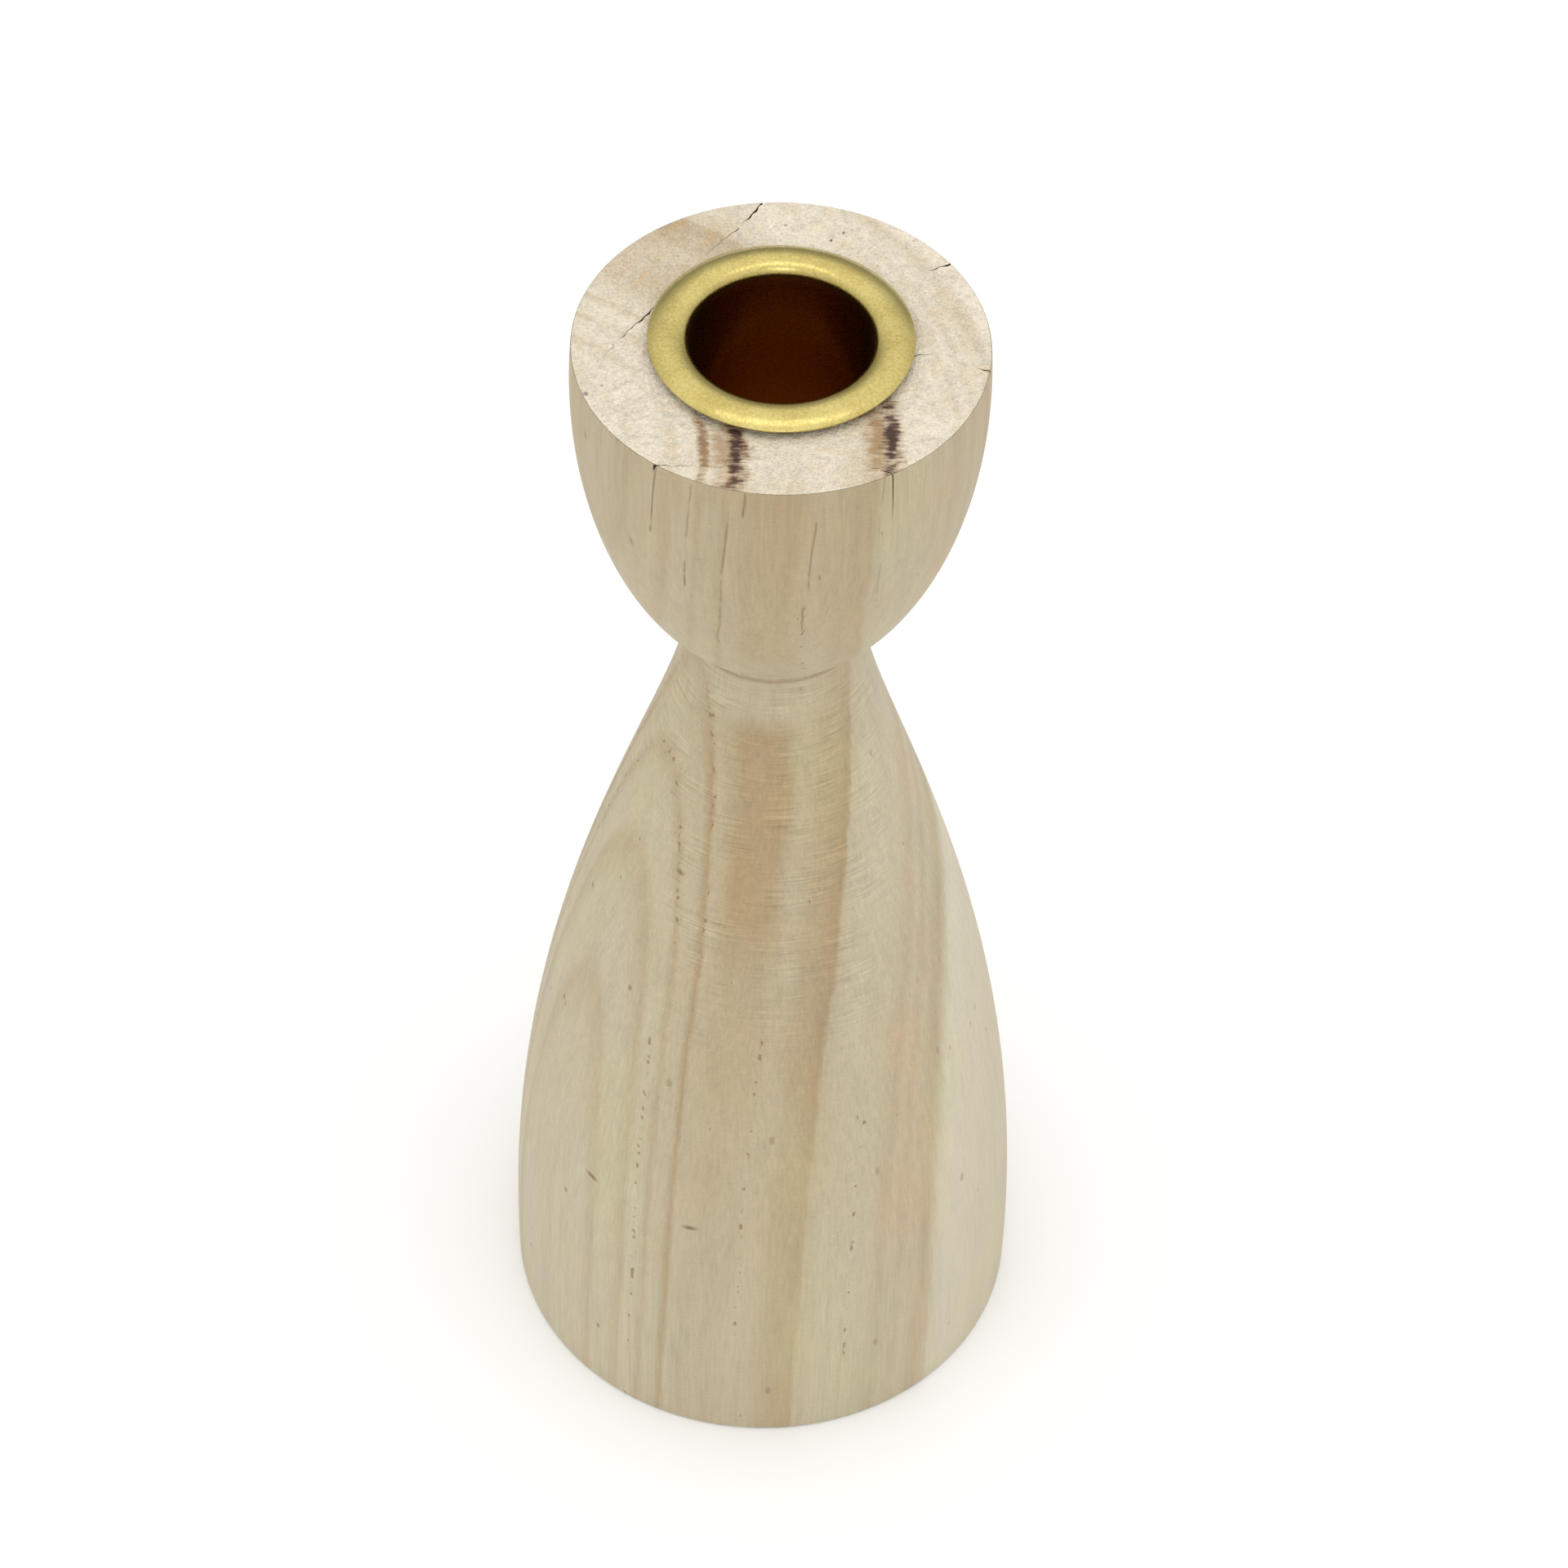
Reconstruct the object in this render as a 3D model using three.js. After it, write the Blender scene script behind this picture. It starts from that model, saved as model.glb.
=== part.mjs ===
// A turned pine candlestick with a drawn brass candle cup let into its head.
// Units are millimetres and +Z is up. The origin is the centre of the base, on the surface it stands on.
//
// The stick is one blank of pine, turned in one piece: a bell-shaped body that narrows to a neck, a sharp
// crease, and an egg-cup head with a flat top. A Forstner bit bored the socket in the head. The cup is one
// piece of drawn brass: a closed sleeve for a 22 mm candle, with a flared lip that stands just clear of the
// head, because the sleeve meets the socket's floor first. It drops into the socket and lifts straight out.
import * as THREE from "three";

// Driving dimensions of the turned stick.
const HEIGHT = 172; // base to the flat top of the head
const NECK_HEIGHT = 126.2; // base to the crease between body and head
const BASE_RADIUS = 33.8;
const NECK_RADIUS = 11;
const HEAD_RADIUS = 25.1; // widest part of the head
const BASE_EDGE = 0.6; // sanded arris round the base
const TOP_EDGE = 0.25; // sanded arris round the top

// Handles of the one curve that runs from the base up to the neck: radius and height.
const BELLY_HANDLE = [35.5, 68.5];
const THROAT_HANDLE = [11.35, 107.5];

// The head is part of an ellipse, widest a little below its flat top.
const HEAD_CENTRE = NECK_HEIGHT + 40;
const HEAD_HALF_HEIGHT = (HEAD_CENTRE - NECK_HEIGHT) / Math.sqrt(1 - (NECK_RADIUS / HEAD_RADIUS) ** 2);

// The socket in the head, and the marks that boring and turning leave.
const CUP_CLEARANCE = 0.3; // air between the cup and the wood, all round
const SPUR_RADIUS = 1.5; // prick of the bit's centre point in the socket's floor
const SPUR_DEPTH = 1.5;
const CENTRE_MARK_RADIUS = 3; // cone that the lathe's centre left in the base
const CENTRE_MARK_DEPTH = 3.5;

// Driving dimensions of the candle cup.
const SHEET = 0.6; // brass thickness
const THROAT_RADIUS = 11.05; // takes a 22 mm candle
const FLOOR_RADIUS = 10.95; // the sleeve's slight draft
const CUP_DEPTH = 25; // flat top of the head to the cup's floor
const CORNER = 1.2; // inside corner between sleeve and floor
const LIP_RADIUS = 15.9;
const LIP_CREST = HEIGHT + 2.2;
const LIP_DROP = 1; // from the crest down to the lip's edge
const ROLL_WIDTH = 2.2; // the bend from the sleeve up to the crest
const ROLL_HEIGHT = 1.6;

const SOCKET_RADIUS = THROAT_RADIUS + SHEET + CUP_CLEARANCE;
const SOCKET_FLOOR = HEIGHT - CUP_DEPTH - SHEET - CUP_CLEARANCE;

// How finely the round shapes are cut.
const TURN_STEPS = 60;
const BODY_STEPS = 17;
const HEAD_STEPS = 12;
const LIP_STEPS = 6;
const CORNER_STEPS = 3;
const EDGE_STEPS = 2;

// Adds an arc of an ellipse to a profile, from one angle to the other, both in radians.
function arc(profile, centre, radii, from, to, steps) {
  for (let i = 0; i <= steps; i++) {
    const angle = from + ((to - from) * i) / steps;
    const radius = centre[0] + radii[0] * Math.cos(angle);
    profile.push(new THREE.Vector2(radius, centre[1] + radii[1] * Math.sin(angle)));
  }
}

// Adds single corners to a profile, each as radius and height.
function corners(profile, ...points) {
  points.forEach(([radius, height]) => profile.push(new THREE.Vector2(radius, height)));
}

// Turns a closed profile about +Z. Points that repeat, where two arcs meet, are left out.
function turned(name, profile, material) {
  const outline = profile.filter((point, i) => i === 0 || point.distanceTo(profile[i - 1]) > 1e-6);
  const mesh = new THREE.Mesh(new THREE.LatheGeometry(outline, TURN_STEPS), material);
  mesh.name = name;
  mesh.rotation.x = Math.PI / 2;
  return mesh;
}

// The stick's outline: up the outside from the centre of the base, then down into the socket.
function stickProfile() {
  const profile = [];
  corners(profile, [0, CENTRE_MARK_DEPTH], [CENTRE_MARK_RADIUS, 0]);
  arc(profile, [BASE_RADIUS - BASE_EDGE, BASE_EDGE], [BASE_EDGE, BASE_EDGE], -Math.PI / 2, 0, EDGE_STEPS);

  const side = new THREE.CubicBezierCurve(
    new THREE.Vector2(BASE_RADIUS, BASE_EDGE),
    new THREE.Vector2(...BELLY_HANDLE),
    new THREE.Vector2(...THROAT_HANDLE),
    new THREE.Vector2(NECK_RADIUS, NECK_HEIGHT),
  );
  profile.push(...side.getSpacedPoints(BODY_STEPS));

  const crease = Math.asin((NECK_HEIGHT - HEAD_CENTRE) / HEAD_HALF_HEIGHT);
  const brow = Math.asin((HEIGHT - TOP_EDGE - HEAD_CENTRE) / HEAD_HALF_HEIGHT);
  arc(profile, [0, HEAD_CENTRE], [HEAD_RADIUS, HEAD_HALF_HEIGHT], crease, brow, HEAD_STEPS);

  const rim = HEAD_RADIUS * Math.cos(brow);
  arc(profile, [rim - TOP_EDGE, HEIGHT - TOP_EDGE], [TOP_EDGE, TOP_EDGE], 0, Math.PI / 2, EDGE_STEPS);
  corners(
    profile,
    [SOCKET_RADIUS, HEIGHT],
    [SOCKET_RADIUS, SOCKET_FLOOR],
    [SPUR_RADIUS, SOCKET_FLOOR],
    [0, SOCKET_FLOOR - SPUR_DEPTH],
  );
  return profile;
}

// The cup's outline: out under its floor, up the sleeve's outside, round the flared lip, down the inside.
// The lip's flare is an arc of a circle that leaves the crest level and drops by LIP_DROP at its edge.
function cupProfile() {
  const profile = [];
  const quarter = Math.PI / 2;
  const floor = HEIGHT - CUP_DEPTH;
  const outerCorner = CORNER + SHEET;
  const cornerCentre = [FLOOR_RADIUS - CORNER, floor + CORNER];
  const crest = THROAT_RADIUS + ROLL_WIDTH;
  const rollCentre = [crest, LIP_CREST - ROLL_HEIGHT];
  const reach = LIP_RADIUS - crest;
  const flare = (reach ** 2 + LIP_DROP ** 2) / (2 * LIP_DROP);
  const flareCentre = [crest, LIP_CREST - flare];
  const edge = Math.acos(reach / flare);

  corners(profile, [0, floor - SHEET]);
  arc(profile, cornerCentre, [outerCorner, outerCorner], -quarter, 0, CORNER_STEPS);
  arc(profile, rollCentre, [ROLL_WIDTH - SHEET, ROLL_HEIGHT - SHEET], 2 * quarter, quarter, LIP_STEPS);
  arc(profile, flareCentre, [flare - SHEET, flare - SHEET], quarter, edge, LIP_STEPS);
  arc(profile, flareCentre, [flare, flare], edge, quarter, LIP_STEPS);
  arc(profile, rollCentre, [ROLL_WIDTH, ROLL_HEIGHT], quarter, 2 * quarter, LIP_STEPS);
  arc(profile, cornerCentre, [CORNER, CORNER], 0, -quarter, CORNER_STEPS);
  corners(profile, [0, floor]);
  return profile;
}

const pine = new THREE.MeshStandardMaterial({ color: "#c6b592", roughness: 0.75, metalness: 0 });
const brass = new THREE.MeshStandardMaterial({ color: "#cdb568", roughness: 0.32, metalness: 1 });

const candlestick = new THREE.Group();
candlestick.add(turned("turned_stick", stickProfile(), pine));
candlestick.add(turned("candle_cup", cupProfile(), brass));

export default candlestick;
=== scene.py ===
"""A turned pine candlestick with a brass candle cup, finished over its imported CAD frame.

Lengths are in metres and +Z is up, as in the frame, and the lists that place the drying checks and the
pine's rings and marks are in millimetres. The pine's grain is one solid pattern of growth rings about a pith
that lies outside the stick, so head, neck and body share it as one blank does.
"""
import math

import bmesh
import bpy
import numpy as np
from bpy.props import FloatProperty, FloatVectorProperty, IntProperty, PointerProperty
from mathutils import Matrix, Vector


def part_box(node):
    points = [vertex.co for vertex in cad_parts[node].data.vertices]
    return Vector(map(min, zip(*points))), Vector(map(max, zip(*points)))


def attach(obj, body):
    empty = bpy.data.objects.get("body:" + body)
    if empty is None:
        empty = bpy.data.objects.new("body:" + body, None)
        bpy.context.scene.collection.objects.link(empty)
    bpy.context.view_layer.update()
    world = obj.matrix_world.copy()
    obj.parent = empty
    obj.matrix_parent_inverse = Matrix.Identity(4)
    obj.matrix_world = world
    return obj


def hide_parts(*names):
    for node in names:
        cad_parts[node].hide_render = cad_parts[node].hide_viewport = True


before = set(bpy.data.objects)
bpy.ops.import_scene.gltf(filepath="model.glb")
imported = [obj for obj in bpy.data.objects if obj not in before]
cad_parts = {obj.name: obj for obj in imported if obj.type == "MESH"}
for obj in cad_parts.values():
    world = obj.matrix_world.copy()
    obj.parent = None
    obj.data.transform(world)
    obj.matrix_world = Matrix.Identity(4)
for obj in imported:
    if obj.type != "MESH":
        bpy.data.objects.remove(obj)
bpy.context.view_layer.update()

STICK_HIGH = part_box("turned_stick")[1]
CUP_LOW, CUP_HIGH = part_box("candle_cup")
MM = 0.001

bl_info = {
    "name": "Turned Candlestick",
    "version": (1, 0, 0),
    "blender": (4, 5, 0),
    "location": "View3D > Sidebar > Candlestick",
    "description": "Makes a turned pine candlestick, its brass candle cup and a studio to show it in",
    "category": "Object",
}


# Colours and small tools.

def linear(hex_colour):
    """An sRGB hex colour as linear red, green, blue and alpha."""
    parts = [int(hex_colour[i:i + 2], 16) / 255 for i in (1, 3, 5)]
    curve = [p / 12.92 if p <= 0.04045 else ((p + 0.055) / 1.055) ** 2.4 for p in parts]
    return (*curve, 1.0)


def colour(name, description, hex_colour):
    """A colour setting with an sRGB hex default."""
    return FloatVectorProperty(name=name, description=description, subtype="COLOR", size=4,
                               min=0, max=1, default=linear(hex_colour))


def length(name, description, metres):
    """A length setting in metres."""
    return FloatProperty(name=name, description=description, default=metres, min=0,
                         subtype="DISTANCE", unit="LENGTH", precision=5)


class StickSettings(bpy.types.PropertyGroup):
    """Sizes and colours of the turned stick."""

    height: length("Height", "From the base to the flat top of the head", STICK_HIGH.z)
    base_radius: length("Base radius", "Outside radius at the foot", 33.8 * MM)
    neck_radius: length("Neck radius", "Radius at the crease under the head", 11 * MM)
    neck_height: length("Neck height", "From the base to the crease", 126.2 * MM)
    head_radius: length("Head radius", "Widest radius of the egg-cup head", 25.1 * MM)
    head_centre: length("Head centre", "Height at which the head is widest", 166.2 * MM)
    columns: IntProperty(name="Columns", description="Steps round the stick", default=320, min=32, max=400)
    earlywood: colour("Earlywood", "Pale spring growth", "#c8c0a6")
    latewood: colour("Latewood", "Tan summer growth", "#a38a61")
    blush: colour("Blush", "Pink cast in some rings", "#c9a58c")
    sap: colour("Sap", "Yellow cast in some of the earlywood", "#c2bd90")
    patina: colour("Patina", "Tan of wood that light and hands have toned", "#a4885b")
    # This colour also paints the shade in the crease and along the head's lower contour.
    resin: colour("Resin", "Flecks and lines of resin", "#7a5c36")
    end_early: colour("End grain", "Earlywood seen on the sawn top", "#dad0bb")
    end_late: colour("End grain rings", "Latewood seen on the sawn top", "#b39c78")
    stain: colour("Stain", "Burnished resin on the sawn top", "#452a22")
    singe: colour("Singe", "Lighter brown round the stains", "#9a7444")
    # Old, darker wood inside a check, made darker still by painted shade of the narrow crack.
    check: colour("Check", "Old wood inside a drying crack", "#3c2818")


class CupSettings(bpy.types.PropertyGroup):
    """Sizes and colours of the brass candle cup."""

    lip_radius: length("Lip radius", "Outside radius of the flared lip", CUP_HIGH.x)
    lip_drop: length("Lip drop", "From the lip's crest down to its edge", 1 * MM)
    throat_radius: length("Throat radius", "Inside radius at the top of the sleeve", 11.05 * MM)
    floor_radius: length("Floor radius", "Inside radius at the bottom of the sleeve", 10.95 * MM)
    sheet: length("Sheet", "Thickness of the brass", 0.6 * MM)
    roll_width: length("Roll width", "From the sleeve out to the lip's crest", 2.2 * MM)
    roll_height: length("Roll height", "From the top of the sleeve up to the lip's crest", 1.6 * MM)
    corner: length("Corner", "Inside corner between sleeve and floor", 1.2 * MM)
    columns: IntProperty(name="Columns", description="Steps round the cup", default=320, min=32, max=400)
    brass: colour("Brass", "Clean brass on the lip", "#d0c17c")
    worn: colour("Worn brass", "Duller brass in the satin surface", "#b6a35e")
    # Painted shade: a darker brass for the sleeve, inside and out, that stands in for the shade in the deep
    # cup and the bore.
    painted_sleeve_shade: colour("Oxide", "Dark skin on the sleeve, inside and out", "#a0763a")


class StudioSettings(bpy.types.PropertyGroup):
    """The floor, the light and the camera."""

    floor: colour("Floor", "Pale studio floor", "#f8f8f7")
    zenith: FloatProperty(name="Zenith", description="Brightness of the surround overhead", default=1.3,
                          min=0)
    horizon: FloatProperty(name="Horizon", description="Brightness of the surround at the horizon",
                           default=0.65, min=0)
    shade: FloatProperty(name="Shade", description="How much dimmer the surround is low behind the object",
                         default=0.42, min=0)
    overhead: FloatProperty(name="Overhead", description="Power of the overhead softbox", default=0.6, min=0,
                            unit="POWER")
    front: FloatProperty(name="Front", description="Power of the softbox behind the camera", default=0.55,
                         min=0, unit="POWER")
    aim: length("Aim", "Height on the axis that the camera looks at", 94.3 * MM)
    distance: length("Distance", "From that point to the camera", 731.7 * MM)
    elevation: FloatProperty(name="Elevation", description="How far the camera looks down", subtype="ANGLE",
                             default=math.radians(48.24))
    pan: FloatProperty(name="Pan", description="Turn of the camera to the right", subtype="ANGLE",
                       default=math.radians(0.19))
    roll: FloatProperty(name="Roll", description="Lean of the camera", subtype="ANGLE",
                        default=math.radians(1.44))
    lens: FloatProperty(name="Lens", description="Focal length on a 36 mm sensor", default=131.25, min=1,
                        unit="CAMERA")


# Surfaces.

SAME_POINT = 1e-8
MERGE_DISTANCE = 1e-7
SHARP_ANGLE = math.radians(30)


def arc(centre, radii, start, end, steps):
    """Points of an ellipse's arc: centre + (a cos t, b sin t), with t from start to end in radians."""
    t = np.linspace(start, end, steps + 1)
    return np.column_stack((centre[0] + radii[0] * np.cos(t), centre[1] + radii[1] * np.sin(t)))


def line(start, end, steps):
    """Evenly spaced points of a straight line."""
    t = np.linspace(0, 1, steps + 1)[:, None]
    return (1 - t) * np.array(start) + t * np.array(end)


def bezier(points, steps):
    """A cubic Bezier curve: the sum of its four points, each weighted by a Bernstein polynomial of t."""
    t = np.linspace(0, 1, steps + 1)[:, None]
    weights = ((1 - t) ** 3, 3 * (1 - t) ** 2 * t, 3 * (1 - t) * t ** 2, t ** 3)
    return sum(weight * np.array(point) for weight, point in zip(weights, points))


def outline_of(*stretches):
    """Joins stretches of an outline end to end and drops the points that repeat where they meet."""
    points = np.vstack(stretches)
    steps = np.linalg.norm(np.diff(points, axis=0), axis=1)
    return points[np.concatenate(([True], steps > SAME_POINT))]


def turned(outline, columns):
    """An outline of radius r and height z turned about +Z: (r cos a, r sin a, z) over rows and angles a."""
    angles = np.arange(columns) * 2 * np.pi / columns
    radius, height = outline[:, :1], outline[:, 1:]
    return np.stack((radius * np.cos(angles), radius * np.sin(angles), height + 0 * angles), axis=-1)


def grid_faces(rows, columns):
    """Four-cornered faces between neighbouring rows and columns of a grid whose columns go round."""
    index = np.arange(rows * columns).reshape(rows, columns)
    beside = np.roll(index, -1, axis=1)
    return np.stack((index[:-1], beside[:-1], beside[1:], index[1:]), axis=-1).reshape(-1, 4)


def make_object(name, points, faces, materials=()):
    """Makes a mesh object with its doubles merged, its faces pointing outwards and its sharp edges marked."""
    mesh = bpy.data.meshes.new(name)
    mesh.from_pydata(points.reshape(-1, 3), [], faces)
    shape = bmesh.new()
    shape.from_mesh(mesh)
    bmesh.ops.remove_doubles(shape, verts=shape.verts, dist=MERGE_DISTANCE)
    bmesh.ops.recalc_face_normals(shape, faces=shape.faces)
    shape.to_mesh(mesh)
    shape.free()
    made = bpy.data.objects.new(name, mesh)
    bpy.context.scene.collection.objects.link(made)
    for material in materials:
        mesh.materials.append(material)
    smooth(mesh)
    return made


def smooth(mesh):
    """Shades a mesh smooth, and keeps edges over 30 degrees sharp."""
    mesh.shade_smooth()
    mesh.set_sharp_from_angle(angle=SHARP_ANGLE)


# The turned stick.

RIM_EDGE = 0.25 * MM
FOOT_EDGE = 0.6 * MM
# Handles of the one curve from the foot up to the neck: radius and height.
BELLY_HANDLE = (35.5 * MM, 68.5 * MM)
THROAT_HANDLE = (11.35 * MM, 107.5 * MM)
# The lathe centre's cone in the base, and the prick of the bit in the socket's floor: radius and depth.
CENTRE_MARK = (3 * MM, 3.5 * MM)
SPUR_MARK = (1.5 * MM, 1.5 * MM)
SOCKET_CLEARANCE = 0.3 * MM
CREASE_CUT = (0.9 * MM, 0.25 * MM)  # how deep the skew's cut goes, and how far up the head it reaches
BODY_STEPS = 100
HEAD_STEPS = 70
EDGE_STEPS = 6


def stick_outline(size, cup):
    """The stick's outline, up the outside from the middle of the base and down into the socket. The skew's
    cut at the crease takes the last step of the body's curve and the first of the head's."""
    top = size.height
    socket = cup.throat_radius + cup.sheet + SOCKET_CLEARANCE
    socket_floor = CUP_LOW.z - SOCKET_CLEARANCE
    rise = size.head_centre - size.neck_height
    half_height = rise / math.sqrt(1 - (size.neck_radius / size.head_radius) ** 2)
    crease = math.asin((CREASE_CUT[1] - rise) / half_height)
    brow = math.asin((top - RIM_EDGE - size.head_centre) / half_height)
    rim = size.head_radius * math.cos(brow)
    foot = size.base_radius - FOOT_EDGE
    return outline_of(
        line((0, CENTRE_MARK[1]), (CENTRE_MARK[0], 0), 3),
        line((CENTRE_MARK[0], 0), (foot, 0), 8),
        arc((foot, FOOT_EDGE), (FOOT_EDGE, FOOT_EDGE), -math.pi / 2, 0, EDGE_STEPS),
        bezier(((size.base_radius, FOOT_EDGE), BELLY_HANDLE, THROAT_HANDLE,
                (size.neck_radius, size.neck_height)), BODY_STEPS)[:-1],
        ((size.neck_radius - CREASE_CUT[0], size.neck_height),),
        arc((0, size.head_centre), (size.head_radius, half_height), crease, brow, HEAD_STEPS),
        arc((rim - RIM_EDGE, top - RIM_EDGE), (RIM_EDGE, RIM_EDGE), 0, math.pi / 2, EDGE_STEPS),
        line((rim - RIM_EDGE, top), (socket, top), 16),
        line((socket, top), (socket, socket_floor), 6),
        line((socket, socket_floor), (SPUR_MARK[0], socket_floor), 4),
        line((SPUR_MARK[0], socket_floor), (0, socket_floor - SPUR_MARK[1]), 2),
    )


# Drying checks: where each runs on the top, from its wide end, in millimetres, with its mouth's width,
# how far it reaches down at the wide end, and how far the rest of it reaches down.
CHECKS = (
    (((-1.5, 26.4), (-3.3, 23.4), (-5.1, 20.6)), 0.7, 5, 2.5),
    (((-5.4, 20.1), (-8.4, 16.4), (-10.0, 14.4)), 0.22, 1, 1),
    (((-13.6, 7.9), (-16.0, 4.6), (-18.2, 1.6), (-19.6, -0.4)), 0.5, 3, 1.5),
    (((-19.7, -0.6), (-20.6, -2.2), (-21.6, -3.7)), 0.12, 0.8, 0.8),
    (((21.4, 15.3), (19.8, 14.4), (17.4, 13.2)), 0.75, 4, 1.5),
    (((14.4, -1.8), (16.2, -1.2), (18.3, -0.8)), 0.4, 2, 1),
    (((25.9, -3.9), (24.4, -3.6), (22.9, -3.3)), 0.6, 3, 1),
    (((-15.2, -20.4), (-13.5, -20.5), (-9.4, -20.5)), 0.32, 1.2, 1.2),
    (((-9.0, -20.4), (-6.4, -20.7), (-3.0, -20.5)), 0.15, 0.6, 0.6),
    (((14.2, -21.7), (12.7, -20.8), (10.2, -19.9)), 0.3, 14, 1.2),
)
CHECK_STEPS = 40
CHECK_SIDE_POINTS = 9
CHECK_WAVES = (0.37 * MM, 0.83 * MM)  # the two waves whose product makes a check ragged
CHECK_WANDER = 0.25 * MM  # how far it strays from its path, both ways together
CHECK_PLUNGE = 1.5 * MM  # how soon the deep end fades to the depth of the rest
CHECK_OVERCUT = MM  # how far the cutter stands above the top


def check_blade(path, width, reach, depth, top):
    """A wedge that cuts one check. Along the path its mouth narrows, and its depth lessens, as the square
    root of what is left, and at the wide end the extra reach dies away exponentially. Across it, v runs from
    -1 to 1, down one face and up the other, and the two faces meet at v = 0."""
    path = np.array(path) * MM
    run = np.concatenate(([0], np.cumsum(np.linalg.norm(np.diff(path, axis=0), axis=1))))
    s = np.linspace(0, run[-1], CHECK_STEPS)
    way = np.column_stack([np.interp(s, run, path[:, i]) for i in (0, 1)])
    heading = np.gradient(way, axis=0)
    across = np.column_stack((-heading[:, 1], heading[:, 0]))
    across /= np.linalg.norm(across, axis=1)[:, None]
    ragged = 0.5 + 0.5 * np.sin(s / CHECK_WAVES[0]) * np.sin(s / CHECK_WAVES[1] + 1)
    way = way + across * (ragged - 0.5)[:, None] * CHECK_WANDER
    left = 1 - s / run[-1]
    mouth = width * MM * np.sqrt(left) * (0.3 + 0.7 * ragged)
    down = (depth * np.sqrt(left) + (reach - depth) * np.exp(-s / CHECK_PLUNGE)) * MM + CHECK_OVERCUT
    v = np.linspace(-1, 1, CHECK_SIDE_POINTS)
    narrowing = np.sign(v) * (1 - np.abs(1 - np.abs(v))) ** 0.7
    offset = mouth[:, None] * narrowing / 2
    height = top + CHECK_OVERCUT - down[:, None] * (1 - np.abs(v))
    return np.dstack((way[:, :1] + across[:, :1] * offset, way[:, 1:] + across[:, 1:] * offset, height))


def check_cutter(top, material):
    """All the blades as one closed cutter."""
    points, faces, first = [], [], 0
    for path, width, reach, depth in CHECKS:
        blade = check_blade(path, width, reach, depth, top)
        rows, columns = blade.shape[:2]
        sides = grid_faces(rows, columns)
        ends = np.arange(columns)
        points.append(blade.reshape(-1, 3))
        faces.extend((sides + first).tolist())
        faces.append((ends + first).tolist())
        faces.append((ends[::-1] + first + (rows - 1) * columns).tolist())
        first += rows * columns
    return make_object("check_cutter", np.vstack(points), faces, [material])


def cut_checks(stick, cutter):
    """Cuts the checks out of the stick and removes the cutter."""
    cut = stick.modifiers.new("checks", "BOOLEAN")
    cut.operation = "DIFFERENCE"
    cut.solver = "EXACT"
    cut.material_mode = "TRANSFER"
    cut.object = cutter
    finished = bpy.data.meshes.new_from_object(stick.evaluated_get(bpy.context.evaluated_depsgraph_get()))
    plain = stick.data
    stick.modifiers.clear()
    stick.data = finished
    bpy.data.meshes.remove(plain)
    finished.name = stick.name
    smooth(finished)
    bpy.data.objects.remove(cutter)


# Materials.

def add(tree, kind, inputs, output=0, **settings):
    """Adds one node. Settings are its own, and inputs go by socket name or number to a value or a link."""
    made = tree.nodes.new(kind)
    for name, value in settings.items():
        setattr(made, name, value)
    for socket, value in inputs.items():
        if isinstance(value, bpy.types.NodeSocket):
            tree.links.new(value, made.inputs[socket])
        else:
            made.inputs[socket].default_value = value
    return made.outputs[output] if made.outputs else made


def new_material(name):
    """An empty node material, its tree, and its object coordinates in millimetres."""
    material = bpy.data.materials.new(name)
    material.use_nodes = True
    tree = material.node_tree
    tree.nodes.clear()
    place = add(tree, "ShaderNodeTexCoord", {}, output="Object")
    return material, tree, add(tree, "ShaderNodeMapping", {0: place, 3: (1000, 1000, 1000)})


def finish(tree, inputs):
    """The surface shader and the material's output."""
    surface = add(tree, "ShaderNodeBsdfPrincipled", inputs)
    add(tree, "ShaderNodeOutputMaterial", {0: surface})


# Pine. Distances are in millimetres.

NOISE_MEAN = 0.5
PITH = (-34.0, -18.8)
STEM_TAPER = 4.0  # how much nearer the pith the rings lie at the foot than at the top
CREASE = (125.3, 126.6)  # the stretch of height where painted shade darkens the crease under the head
TURNED_LINES = (82, 118)  # the stretch of height where the turning lines show most
MIDDLE_LATE = 0.38  # the share of latewood that a change of contrast leaves alone
# Rings by their distance from the pith.
BLUSH_RINGS = (54, 60.2)
INNER_RINGS = (0, 27.4)
FRONT_RINGS = (28.6, 45.2)
HEART_RINGS = (32, 36)
LINED_RINGS = (26, 48)
TORN_RINGS = (33, 45)
PALEST_RING = (60.6, 63.0)
TONED_EDGE = (61.4, 60.0)  # where the toning that comes with age ends and where it is full
# Latewood's share at each distance from the pith. Most rings darken slowly and end in a sharp edge.
RINGS = (
    (0, 0.18), (14.3, 0.14), (16.2, 0.46), (17.0, 0.14), (19.4, 0.14), (21.2, 0.5), (22.0, 0.14),
    (23.8, 0.2), (24.8, 0.58), (25.5, 0.26), (27.2, 0.36), (28.1, 0.85), (28.7, 0.36), (33.0, 0.44),
    (39.0, 0.38), (40.5, 0.45), (41.5, 0.62), (43.5, 0.72), (45.2, 0.85), (45.7, 0.4), (48.0, 0.24),
    (52.8, 0.26), (54.8, 0.48), (55.9, 0.26), (56.9, 0.48), (57.8, 0.3), (59.8, 0.6), (60.6, 0.38),
    (61.6, 0.0), (73.0, 0.5), (74.0, 0.1), (80, 0.4),
)
# How the trunk swayed as it grew: height, and how far outwards the rings lie there.
SWAY = ((0, -0.3), (25, -0.25), (48, -1.0), (70, -1.15), (92, -0.3), (108, 0.6), (122, 0.9), (143, -0.4),
        (158, 0.0), (172, 0.5))
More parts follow.
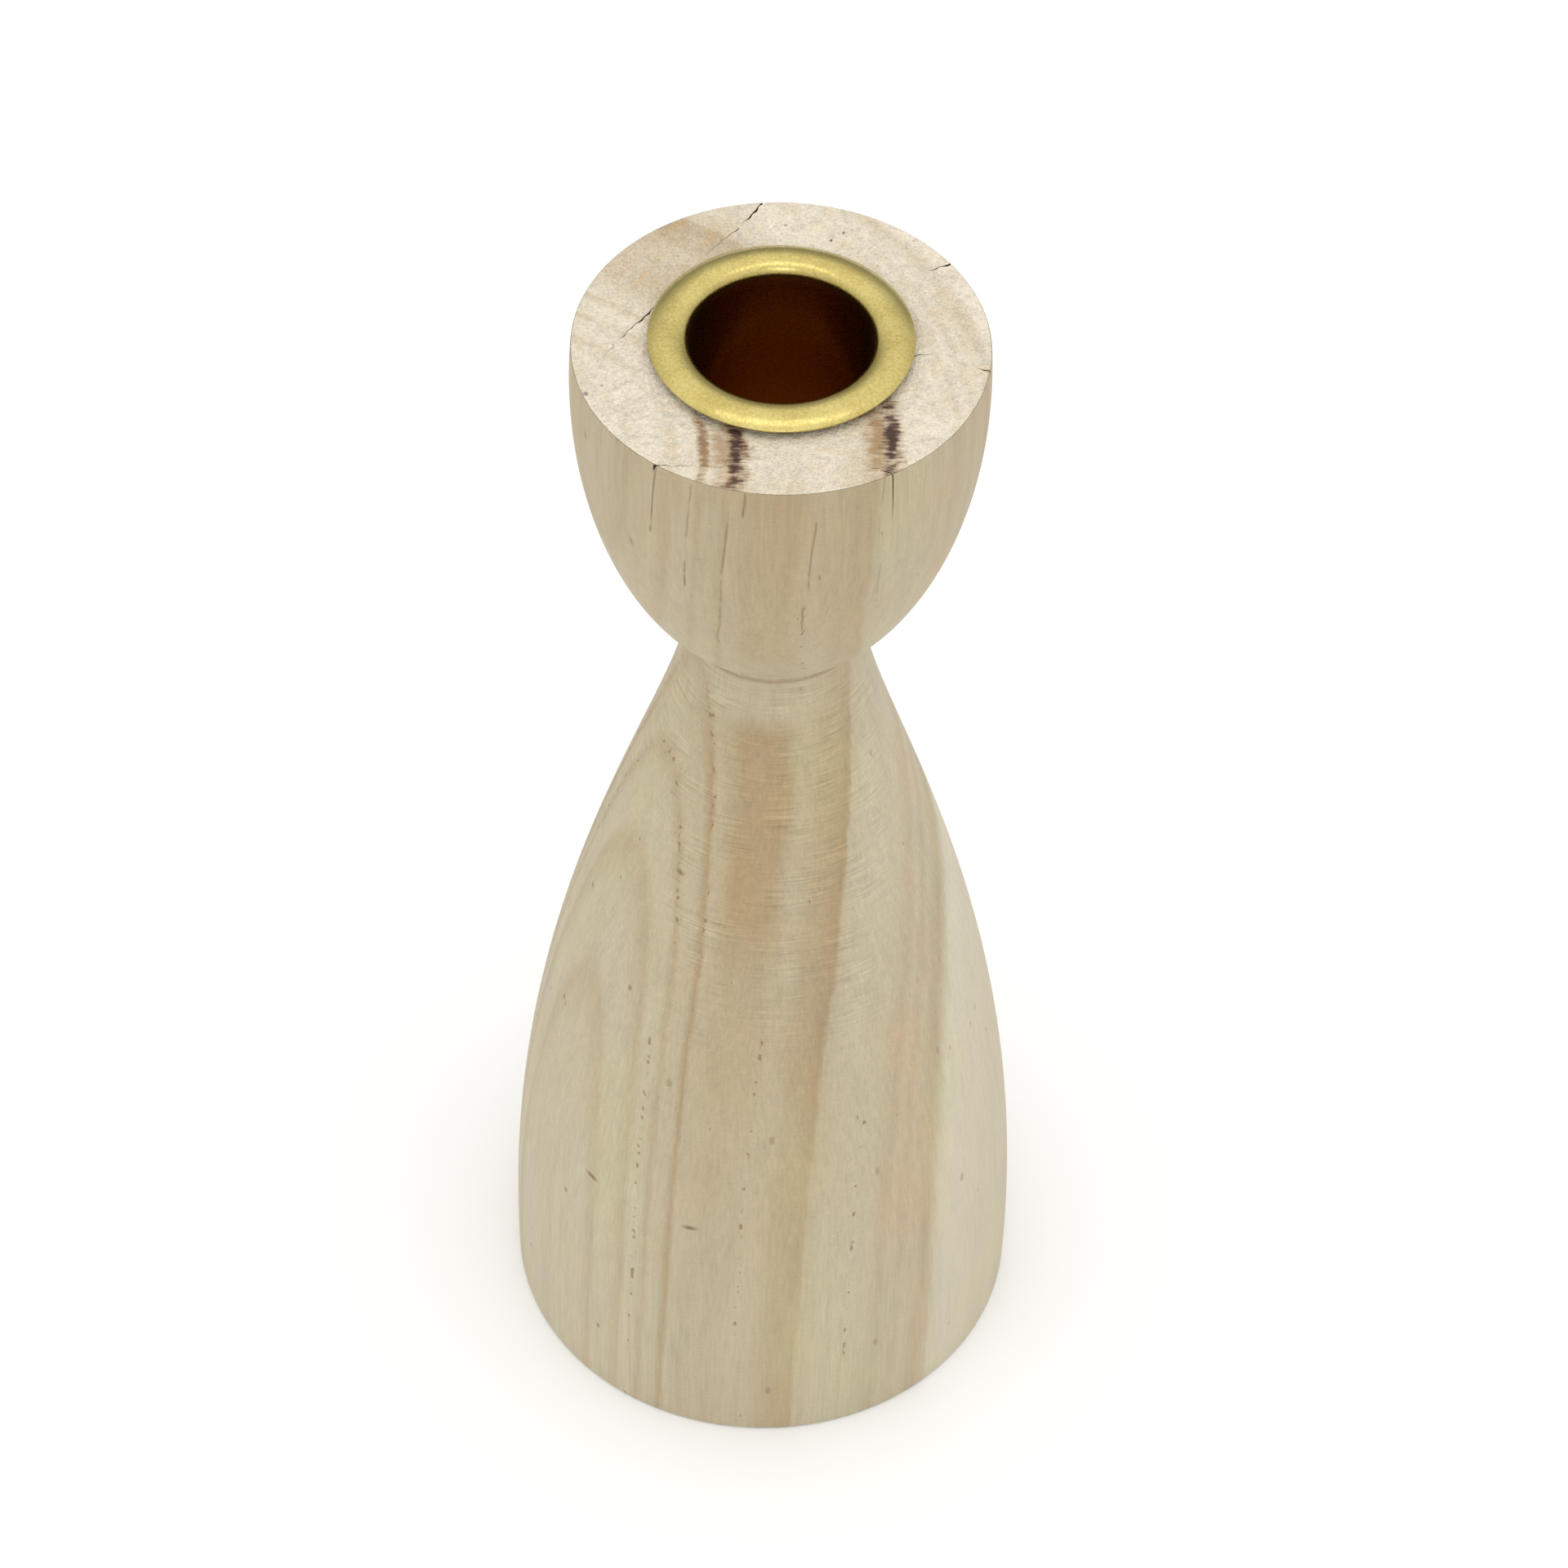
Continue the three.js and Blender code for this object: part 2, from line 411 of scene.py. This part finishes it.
# At each height: how much the rings contrast, how much light has toned all the wood inside the palest
# ring, and how much more it and hands have toned the heart of the front.
CONTRAST = ((0, 0.75), (50, 0.85), (70, 1.0), (110, 1.1), (122, 0.6), (140, 0.5), (172, 0.55))
TONING = ((0, 0.02), (30, 0.06), (60, 0.14), (80, 0.14), (92, 0.0), (122, 0.0), (136, 0.02), (146, 0.14),
          (172, 0.28))
HEART = ((0, 0.0), (60, 0.06), (80, 0.2), (92, 0.55), (117, 0.55), (120, 0.02), (130, 0.05), (140, 0.25),
         (160, 0.25), (172, 0.25))
# Fine lines of resin along one ring: distance from the pith, lowest and highest place, and strength.
RESIN_LINES = (
    (19.2, 161, 172, 0.75), (23.7, 163, 171, 0.4), (23.7, 153.4, 157.5, 0.8), (28.4, 158, 168, 0.6),
    (28.4, 142, 156, 0.4), (30.2, 168.5, 171.5, 0.7), (38.6, 156, 167, 0.5), (38.2, 147, 152, 0.6),
    (45.9, 168, 172, 0.4), (46.6, 150, 157, 0.35),
)
# Canals scattered between the rings: the cell that holds one, across and up, its radius as a share of the
# cell, how many cells have one, its strength, and how far from the pith this kind goes.
CANALS = ((2.4, 7, 0.09, 0.2, 0.55, 80), (6.5, 13, 0.08, 0.5, 0.4, 80), (4.6, 6.0, 0.1, 0.5, 0.6, 25))
# Rows of resin dots: distance from the pith, lowest and highest place.
DOT_ROWS = (
    (37.7, 22, 76), (24.9, 86, 108), (23.0, 14, 70), (28.4, 84, 118), (51.2, 16, 60), (38.4, 126, 150),
)
# Burnished streaks on the top: distance from the pith and half width, middle and half length in Y, how dark
# the middle is, and how strong the brown round it.
STREAKS = (
    (28.6, 1.1, -18.6, 5.0, 1.0, 0.8), (27.2, 1.0, -17.8, 3.8, 0.0, 0.7), (24.7, 0.5, -17.2, 4.0, 0.3, 0.8),
    (46.8, 1.0, -15.0, 5.6, 1.0, 0.7), (45.5, 1.2, -15.6, 4.4, 0.0, 0.8),
)
# Pin knots, pits and a faint band of painted shade above the neck, along the head's lower contour: place,
# tilt in degrees, half lengths across and up, and strength.
MARKS = (
    ((-11.2, -15.6, 94.7), 20, (0.9, 0.55), 0.8),
    ((-22.6, -22.4, 40.6), 10, (1.7, 0.55), 0.85),
    ((-9.4, -30.4, 40.3), -6, (1.5, 0.55), 0.85),
    # A band of painted shade along the head's lower contour, just above the neck.
    ((-0.6, -15.6, 131.3), 0, (5.0, 0.5), 0.35),
    ((5.7, 18.2, 172), 0, (0.25, 0.4), 1.0),
    ((7.2, 19.6, 172), 0, (0.2, 0.35), 1.0),
    ((0.2, 20.7, 172), 0, (0.35, 0.35), 0.6),
    ((-22.7, -9.0, 172), 0, (0.5, 0.3), 0.7),
    ((-24.0, -8.7, 172), 0, (0.3, 0.25), 0.7),
    ((-20.9, -7.6, 172), 0, (0.3, 0.25), 0.6),
)


def profile(tree, value, stops):
    """A smooth run of amounts over a value, given as stops of value and amount."""
    reach = stops[-1][0]
    low = min(amount for _, amount in stops)
    span = max(amount for _, amount in stops) - low
    share = add(tree, "ShaderNodeMath", {0: value, 1: reach}, operation="DIVIDE")
    ramp = add(tree, "ShaderNodeValToRGB", {0: share})
    elements = ramp.node.color_ramp.elements
    for _ in stops[2:]:
        elements.new(0.5)
    for element, (where, amount) in zip(elements, stops):
        grey = (amount - low) / span
        element.position = where / reach
        element.color = (grey, grey, grey, 1)
    return add(tree, "ShaderNodeMath", {0: ramp, 1: span, 2: low}, operation="MULTIPLY_ADD")


def total(tree, *terms):
    """The sum of terms, each a value and its weight."""
    so_far = 0.0
    for value, weight in terms:
        so_far = add(tree, "ShaderNodeMath", {0: value, 1: weight, 2: so_far}, operation="MULTIPLY_ADD")
    return so_far


def greatest(tree, values):
    """The greatest of several values."""
    so_far = 0.0
    for value in values:
        so_far = add(tree, "ShaderNodeMath", {0: so_far, 1: value}, operation="MAXIMUM")
    return so_far


def times(tree, first, second):
    """The product of two values."""
    return add(tree, "ShaderNodeMath", {0: first, 1: second}, operation="MULTIPLY")


def step(tree, value, start, end, height=1.0):
    """Rises smoothly from nothing at start to its height at end, which may lie either way."""
    if start > end:
        start, end, first, last = end, start, height, 0.0
    else:
        first, last = 0.0, height
    return add(tree, "ShaderNodeMapRange", {0: value, 1: start, 2: end, 3: first, 4: last},
               interpolation_type="SMOOTHSTEP")


def within(tree, value, low, high, soft):
    """One where the value lies between low and high, falling to none over the soft margin."""
    return times(tree, step(tree, value, low - soft, low), step(tree, value, high + soft, high))


def part(tree, vector, axis):
    """One of a vector's three parts."""
    return add(tree, "ShaderNodeSeparateXYZ", {0: vector}, output=axis)


def size_of(tree, vector):
    """A vector's length."""
    return add(tree, "ShaderNodeVectorMath", {0: vector}, output="Value", operation="LENGTH")


def streaked(tree, place, across, along, detail=2.0):
    """Noise drawn out along the grain: its grains are across by along, in millimetres."""
    drawn = add(tree, "ShaderNodeMapping", {0: place, 3: (1 / across, 1 / across, 1 / along)})
    return add(tree, "ShaderNodeTexNoise", {"Vector": drawn, "Scale": 1.0, "Detail": detail})


def ring_distance(tree, place, z):
    """How far a point is from the pith: its plan distance, more towards the foot as the stem tapers, less
    the trunk's sway, with a broad and a fine wander."""
    broad, fine = 1.0, 0.7
    plan = add(tree, "ShaderNodeMapping", {0: place, 1: (-PITH[0], -PITH[1], 0), 3: (1, 1, 0)})
    height = STICK_HIGH.z / MM
    return total(tree, (STEM_TAPER, 1.0), (size_of(tree, plan), 1.0), (z, -STEM_TAPER / height),
                 (profile(tree, z, SWAY), -1.0), (streaked(tree, place, 14, 45), broad),
                 (streaked(tree, place, 1.0, 12), fine), (NOISE_MEAN * (broad + fine), -1.0))


def resin(tree, place, distance, z):
    """Dark lines and rows of dots where resin canals follow one ring, and canals scattered between them,
    each a dash 0.4 to 1 mm wide and 1 to 2 mm long, coarser than a real canal so that it shows."""
    uneven = step(tree, streaked(tree, place, 1.5, 3.0), 0.2, 0.55)
    dots = step(tree, streaked(tree, place, 0.8, 0.9, detail=0.0), 0.6, 0.72)
    shown = []
    for away, low, high, strength in RESIN_LINES:
        row = times(tree, within(tree, distance, away - 0.05, away + 0.05, 0.16),
                    within(tree, z, low, high, 0.8))
        shown.append(times(tree, times(tree, row, strength), uneven))
    for away, low, high in DOT_ROWS:
        row = times(tree, within(tree, distance, away - 0.1, away + 0.1, 0.2), within(tree, z, low, high, 4))
        shown.append(times(tree, times(tree, row, 0.65), dots))
    for cell, tall, radius, share, strength, furthest in CANALS:
        drawn = add(tree, "ShaderNodeMapping", {0: place, 3: (1 / cell, 1 / cell, 1 / tall)})
        away = add(tree, "ShaderNodeTexVoronoi", {"Vector": drawn, "Scale": 1.0}, output="Distance")
        chance = add(tree, "ShaderNodeSeparateColor", {0: away.node.outputs["Color"]})
        kept = add(tree, "ShaderNodeMath", {0: chance, 1: share}, operation="LESS_THAN")
        kept = times(tree, kept, step(tree, distance, furthest + 1, furthest))
        shown.append(times(tree, step(tree, away, radius, radius * 0.4, strength), kept))
    return greatest(tree, shown)


def sawn_texture(tree, place, distance):
    """The sawn top's texture: rays a millimetre or two wide that run out from the pith, and torn lumps."""
    plan = add(tree, "ShaderNodeMapping", {0: place, 1: (-PITH[0], -PITH[1], 0)})
    bearing = add(tree, "ShaderNodeMath", {0: part(tree, plan, "Y"), 1: part(tree, plan, "X")},
                  operation="ARCTAN2")
    spread = math.hypot(*PITH)
    polar = add(tree, "ShaderNodeCombineXYZ", {0: times(tree, bearing, spread / 1.6),
                                               1: times(tree, distance, 1 / 7.0)})
    rays = add(tree, "ShaderNodeTexNoise", {"Vector": polar, "Scale": 1.0, "Detail": 4.0, "Roughness": 0.65})
    lumps = streaked(tree, place, 1.1, 1.1, detail=4.0)
    return rays, lumps


def streaks(tree, place, distance):
    """Feathered streaks on the top, each along a ring, as how dark they are and how far they spread."""
    y = part(tree, place, "Y")
    drawn = add(tree, "ShaderNodeMapping", {0: place, 3: (1 / 2.0, 1 / 0.45, 1)})
    feather = add(tree, "ShaderNodeTexNoise", {"Vector": drawn, "Scale": 1.0, "Detail": 4.0})
    blotch = streaked(tree, place, 1.6, 1.6, detail=3.0)
    dark, spread = [], []
    for away, half, middle, reach, darkness, brownness in STREAKS:
        u = total(tree, (distance, 1 / half), (away / half, -1.0))
        v = total(tree, (y, 1 / reach), (middle / reach, -1.0))
        offset = size_of(tree, add(tree, "ShaderNodeCombineXYZ", {0: u, 1: v}))
        torn = total(tree, (offset, 1.0), (feather, 2.6), (blotch, 2.4), (2.5, -1.0))
        dark.append(step(tree, torn, 1.3, 0.2, darkness))
        spread.append(step(tree, torn, 2.2, 0.3, brownness))
    return greatest(tree, dark), greatest(tree, spread)


def marks(tree, place):
    """Pin knots, pits and a band of painted shade under the head: ovals, each darkest in the middle."""
    shown = []
    for centre, tilt, (across, up), strength in MARKS:
        facing = math.atan2(centre[1], centre[0])
        turn = (0, math.radians(tilt), facing + math.pi / 2)
        halves = (across, max(across, up), up)
        local = add(tree, "ShaderNodeMapping", {0: place, 1: centre, 2: turn, 3: halves},
                    vector_type="TEXTURE")
        shown.append(step(tree, size_of(tree, local), 1.0, 0.15, strength))
    return greatest(tree, shown)


def blend(tree, share, first, second):
    """A colour that goes from the first to the second as share goes from 0 to 1."""
    return add(tree, "ShaderNodeMix", {0: share, 6: first, 7: second}, output=2, data_type="RGBA")


def toned(tree, value, colour_in):
    """A colour made lighter or darker."""
    return add(tree, "ShaderNodeHueSaturation", {"Value": value, "Color": colour_in})


def sanded_pine(look):
    """Pine turned on a lathe and sanded bare. It gives the eye broad growth rings that run the whole
    length, fine fibre, dark resin flecks, faint turning lines, and rays and torn flecks on the sawn top. Its
    fibre and grit are drawn coarser than they are, so that they show."""
    material, tree, place = new_material("lathe_sanded_pine")
    z = part(tree, place, "Z")
    distance = ring_distance(tree, place, z)
    late = profile(tree, distance, RINGS)
    fibre = streaked(tree, place, 0.4, 6, detail=3.0)
    streak = streaked(tree, place, 1.6, 50)
    patch = streaked(tree, place, 9, 16)
    wide_patch = streaked(tree, place, 13, 34, detail=1.0)
    turning = streaked(tree, place, 4.5, 0.24)
    grit = streaked(tree, place, 0.3, 0.3, detail=3.0)
    specks = resin(tree, place, distance, z)
    # Pin knots and pits, with the band of painted shade under the head.
    knots_pits_and_painted_shade = marks(tree, place)

    centred = total(tree, (late, 1.0), (MIDDLE_LATE, -1.0))
    share = total(tree, (times(tree, centred, profile(tree, z, CONTRAST)), 1.0), (MIDDLE_LATE, 1.0))
    wood = blend(tree, share, look.earlywood, look.latewood)
    wood = blend(tree, times(tree, within(tree, distance, *BLUSH_RINGS, 1.5),
                             step(tree, patch, 0.4, 0.7, 0.3)), wood, look.blush)
    wood = blend(tree, step(tree, wide_patch, 0.52, 0.74, 0.3), wood, look.sap)
    front = within(tree, distance, *FRONT_RINGS, 0.6)
    depth = total(tree, (front, 0.35), (within(tree, distance, *HEART_RINGS, 3), 0.85),
                  (within(tree, distance, *INNER_RINGS, 1), 0.35))
    heart = times(tree, profile(tree, z, HEART), depth)
    band = times(tree, within(tree, z, *TURNED_LINES, 16), within(tree, distance, *LINED_RINGS, 5))
    band = times(tree, band, step(tree, streaked(tree, place, 5, 5), 0.35, 0.65))
    lined = times(tree, total(tree, (turning, 1.0), (NOISE_MEAN, -1.0)), band)
    # Painted shade in the crease under the head, drawn in the resin colour.
    painted_crease_shade = within(tree, z, *CREASE, 0.4)
    inner = times(tree, profile(tree, z, TONING), step(tree, distance, *TONED_EDGE))
    patina = total(tree, (inner, 1.0), (heart, 1.0), (lined, -0.4), (patch, 0.5), (0.25, -1.0))
    wood = blend(tree, patina, wood, look.patina)
    palest = step(tree, distance, *PALEST_RING, 0.28)
    # With every noise at its mean, the wood keeps 0.975 of its lightness, and the sawn top 1.03 of its own.
    wood = toned(tree, total(tree, (fibre, 0.34), (streak, 0.2), (patch, 0.2), (turning, 0.08),
                             (lined, 0.6), (grit, 0.24), (0.445, 1.0)), wood)
    wood = blend(tree, palest, wood, look.end_early)
    # Resin flecks, knots and pits take the resin colour, and so do the painted shade in the crease and the
    # band of painted shade under the head.
    wood = blend(tree, greatest(tree, (specks, knots_pits_and_painted_shade, times(tree, painted_crease_shade, 0.4))), wood, look.resin)

    rays, lumps = sawn_texture(tree, place, distance)
    torn = times(tree, step(tree, part(tree, place, "Y"), -5, 8), within(tree, distance, *TORN_RINGS, 6))
    tan = total(tree, (late, 0.9), (patch, 0.8), (rays, 1.5), (torn, 0.3), (1.32, -1.0))
    end = blend(tree, tan, look.end_early, look.end_late)
    flecks = times(tree, step(tree, lumps, 0.52, 0.66), total(tree, (torn, 0.14), (0.03, 1.0)))
    end = toned(tree, total(tree, (grit, 0.8), (rays, 0.7), (lumps, 0.5), (flecks, -1.0), (0.03, 1.0)), end)
    burnt, singed = streaks(tree, place, distance)
    end = blend(tree, singed, end, look.singe)
    end = blend(tree, greatest(tree, (burnt, knots_pits_and_painted_shade)), end, look.stain)
    upright = part(tree, add(tree, "ShaderNodeTexCoord", {}, output="Normal"), "Z")
    sawn = step(tree, add(tree, "ShaderNodeMath", {0: upright}, operation="ABSOLUTE"), 0.72, 0.86)
    wood = blend(tree, sawn, wood, end)

    long_grain = total(tree, (fibre, 0.05), (turning, 0.03), (specks, -0.05))
    cross_grain = total(tree, (grit, 0.16), (rays, 0.2), (lumps, 0.5))
    relief = add(tree, "ShaderNodeMix", {0: sawn, 2: long_grain, 3: cross_grain})
    bump = add(tree, "ShaderNodeBump", {"Strength": 1.0, "Distance": MM, "Height": relief})
    rough = total(tree, (fibre, 0.2), (0.52, 1.0))
    finish(tree, {"Base Color": wood, "Roughness": rough, "IOR": 1.5, "Normal": bump})
    return material


def check_wood_and_painted_shade(look):
    """The torn, dark brown wood inside a drying crack, with painted shade of the narrow crack added to its
    colour. It gives the eye a dark, matt line.
    """
    material, tree, place = new_material("check_wood_and_painted_shade")
    torn = streaked(tree, place, 0.5, 4)
    deep = blend(tree, step(tree, torn, 0.5, 0.9), look.check, look.resin)
    finish(tree, {"Base Color": deep, "Roughness": 0.9, "IOR": 1.5})
    return material


def satin_brass(look, rim_height):
    """Drawn brass with a tumbled satin finish: soft highlights, a fine mottle, and darker brass painted on
    the sleeve, inside and out, as painted shade of the deep cup."""
    material, tree, place = new_material("tumbled_satin_brass")
    mottle = streaked(tree, place, 0.35, 0.35, detail=4.0)
    cloud = streaked(tree, place, 5, 5)
    worn = step(tree, total(tree, (mottle, 0.6), (cloud, 0.4)), 0.3, 0.7)
    metal = blend(tree, worn, look.brass, look.worn)
    plan = add(tree, "ShaderNodeMapping", {0: place, 3: (1, 1, 0)})
    sleeve = step(tree, size_of(tree, plan), 12.5, 11.2)
    deep = step(tree, part(tree, place, "Z"), rim_height + 1.8, rim_height - 1.0)
    # Painted shade: the sleeve's brass darkens below the rim, inside and out.
    metal = blend(tree, times(tree, sleeve, deep), metal, look.painted_sleeve_shade)
    bump = add(tree, "ShaderNodeBump", {"Strength": 0.3, "Distance": 0.05 * MM, "Height": mottle})
    rough = total(tree, (mottle, 0.2), (0.15, 1.0))
    finish(tree, {"Base Color": metal, "Metallic": 1.0, "Roughness": rough, "Normal": bump})
    return material


# The candle cup.

EDGE_ROUND = 0.15 * MM
CORNER_STEPS = 8
UNDERSIDE_STEPS = 14
FLARE_STEPS = 24
ROLL_STEPS = 30


def cup_outline(size):
    """The cup's outline: out under its floor, up the sleeve, round the flared lip and down the inside. The
    flare is an arc of a circle that leaves the crest level and drops by lip_drop at the lip's edge."""
    quarter = math.pi / 2
    floor = CUP_LOW.z + size.sheet
    outer_corner = size.corner + size.sheet
    corner_centre = (size.floor_radius - size.corner, floor + size.corner)
    crest = size.throat_radius + size.roll_width
    sleeve_top = CUP_HIGH.z - size.roll_height
    reach = size.lip_radius - crest
    flare = (reach ** 2 + size.lip_drop ** 2) / (2 * size.lip_drop)
    centre = CUP_HIGH.z - flare
    edge = math.acos(reach / flare)
    under_roll = (size.roll_width - size.sheet, size.roll_height - size.sheet)
    under_flare = flare - size.sheet
    rounded = edge + EDGE_ROUND / flare
    bead = flare - EDGE_ROUND
    bead_centre = (crest + bead * math.cos(rounded), centre + bead * math.sin(rounded))
    return outline_of(
        line((0, floor - size.sheet), (corner_centre[0], floor - size.sheet), 6),
        arc(corner_centre, (outer_corner, outer_corner), -quarter, 0, CORNER_STEPS),
        line((size.floor_radius + size.sheet, corner_centre[1]),
             (size.throat_radius + size.sheet, sleeve_top), 14),
        arc((crest, sleeve_top), under_roll, 2 * quarter, quarter, UNDERSIDE_STEPS),
        arc((crest, centre), (under_flare, under_flare), quarter, edge, UNDERSIDE_STEPS),
        arc(bead_centre, (EDGE_ROUND, EDGE_ROUND), edge - quarter, rounded, EDGE_STEPS),
        arc((crest, centre), (flare, flare), rounded, quarter, FLARE_STEPS),
        arc((crest, sleeve_top), (size.roll_width, size.roll_height), quarter, 2 * quarter, ROLL_STEPS),
        line((size.throat_radius, sleeve_top), (size.floor_radius, corner_centre[1]), 24),
        arc(corner_centre, (size.corner, size.corner), 0, -quarter, CORNER_STEPS),
        line((corner_centre[0], floor), (0, floor), 10),
    )


# The studio.

FLOOR_REACH = 4  # from the middle of the floor to its edges
# Where each soft box hangs, and its width and depth.
OVERHEAD_BOX = ((0, -0.1, 1.0), (1.0, 0.24))
FRONT_BOX = ((0, -0.9, 0.98), (0.35, 0.35))
SENSOR_WIDTH = 36  # millimetres


def floor_material(look):
    """Matt white paper, plain enough to show only the object."""
    material, tree, _ = new_material("matt_paper_floor")
    finish(tree, {"Base Color": look.floor, "Roughness": 0.9})
    return material


def sky(look):
    """A white surround that dims towards the horizon, and most low behind the object."""
    world = bpy.data.worlds.new("studio_surround")
    world.use_nodes = True
    tree = world.node_tree
    tree.nodes.clear()
    towards = add(tree, "ShaderNodeTexCoord", {}, output="Generated")
    above = step(tree, part(tree, towards, "Z"), -0.2, 1.0, look.zenith - look.horizon)
    behind = step(tree, part(tree, towards, "Y"), 0.68, 0.92, look.shade)
    brightness = total(tree, (above, 1.0), (behind, -1.0), (look.horizon, 1.0))
    light = add(tree, "ShaderNodeBackground", {0: (1, 1, 1, 1), 1: brightness})
    add(tree, "ShaderNodeOutputWorld", {0: light})
    return world


def softbox(name, where, size, power):
    """An oval soft box, as wide and as deep as size says, that faces the top of the stick."""
    lamp = bpy.data.lights.new(name, "AREA")
    lamp.shape = "ELLIPSE"
    lamp.size, lamp.size_y = size
    lamp.energy = power
    box = bpy.data.objects.new(name, lamp)
    box.location = where
    aim = Vector((0, 0, STICK_HIGH.z)) - box.location
    box.rotation_euler = aim.to_track_quat("-Z", "Y").to_euler()
    bpy.context.scene.collection.objects.link(box)


def camera(look):
    """The camera looks down at the aim point, from the front."""
    ahead = Vector((math.sin(look.pan) * math.cos(look.elevation),
                    math.cos(look.pan) * math.cos(look.elevation), -math.sin(look.elevation)))
    side = Vector((math.cos(look.pan), -math.sin(look.pan), 0))
    over = side.cross(ahead)
    turn = Matrix((side, over, -ahead)).transposed().to_4x4() @ Matrix.Rotation(look.roll, 4, "Z")
    lens = bpy.data.cameras.new("product_camera")
    lens.sensor_width = SENSOR_WIDTH
    lens.lens = look.lens
    view = bpy.data.objects.new("product_camera", lens)
    where = Vector((0, -look.distance * math.cos(look.elevation),
                    look.aim + look.distance * math.sin(look.elevation)))
    view.matrix_world = Matrix.Translation(where) @ turn
    bpy.context.scene.collection.objects.link(view)
    bpy.context.scene.camera = view


# Operators, panel and registration.

class CANDLESTICK_OT_stick(bpy.types.Operator):
    """Turn the pine stick, with its drying checks"""

    bl_idname = "candlestick.stick"
    bl_label = "Turn stick"

    def execute(self, context):
        size = context.scene.candlestick_stick
        points = turned(stick_outline(size, context.scene.candlestick_cup), size.columns)
        faces = grid_faces(*points.shape[:2]).tolist()
        stick = make_object("pine_stick", points, faces, [sanded_pine(size)])
        cut_checks(stick, check_cutter(size.height, check_wood_and_painted_shade(size)))
        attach(stick, "stick")
        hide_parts("turned_stick")
        return {"FINISHED"}


class CANDLESTICK_OT_cup(bpy.types.Operator):
    """Draw the brass candle cup"""

    bl_idname = "candlestick.cup"
    bl_label = "Draw candle cup"

    def execute(self, context):
        size = context.scene.candlestick_cup
        points = turned(cup_outline(size), size.columns)
        faces = grid_faces(*points.shape[:2]).tolist()
        cup = make_object("brass_cup", points, faces, [satin_brass(size, STICK_HIGH.z / MM)])
        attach(cup, "cup")
        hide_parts("candle_cup")
        return {"FINISHED"}


class CANDLESTICK_OT_studio(bpy.types.Operator):
    """Lay the floor and set the light and the camera"""

    bl_idname = "candlestick.studio"
    bl_label = "Set up studio"

    def execute(self, context):
        look = context.scene.candlestick_studio
        scene = context.scene
        corners = np.array(((-1, -1, 0), (1, -1, 0), (1, 1, 0), (-1, 1, 0)), float) * FLOOR_REACH
        floor = make_object("paper_floor", corners, [[0, 1, 2, 3]], [floor_material(look)])
        scene.world = sky(look)
        softbox("overhead_softbox", *OVERHEAD_BOX, look.overhead)
        softbox("front_softbox", *FRONT_BOX, look.front)
        camera(look)
        scene.view_settings.view_transform = "Standard"
        return {"FINISHED"}


class CANDLESTICK_PT_panel(bpy.types.Panel):
    """The candlestick's steps"""

    bl_idname = "CANDLESTICK_PT_panel"
    bl_label = "Candlestick"
    bl_space_type = "VIEW_3D"
    bl_region_type = "UI"
    bl_category = "Candlestick"

    def draw(self, context):
        for operator in STEPS:
            self.layout.operator(operator.bl_idname)


SETTINGS = {
    "candlestick_stick": StickSettings,
    "candlestick_cup": CupSettings,
    "candlestick_studio": StudioSettings,
}
STEPS = (CANDLESTICK_OT_stick, CANDLESTICK_OT_cup, CANDLESTICK_OT_studio)
CLASSES = (*SETTINGS.values(), *STEPS, CANDLESTICK_PT_panel)


def register():
    for cls in CLASSES:
        bpy.utils.register_class(cls)
    for name, group in SETTINGS.items():
        setattr(bpy.types.Scene, name, PointerProperty(type=group))


def unregister():
    for name in SETTINGS:
        delattr(bpy.types.Scene, name)
    for cls in reversed(CLASSES):
        bpy.utils.unregister_class(cls)


def main():
    """Makes the candlestick and its studio."""
    register()
    bpy.ops.candlestick.stick()
    bpy.ops.candlestick.cup()
    bpy.ops.candlestick.studio()


if __name__ == "__main__":
    main()
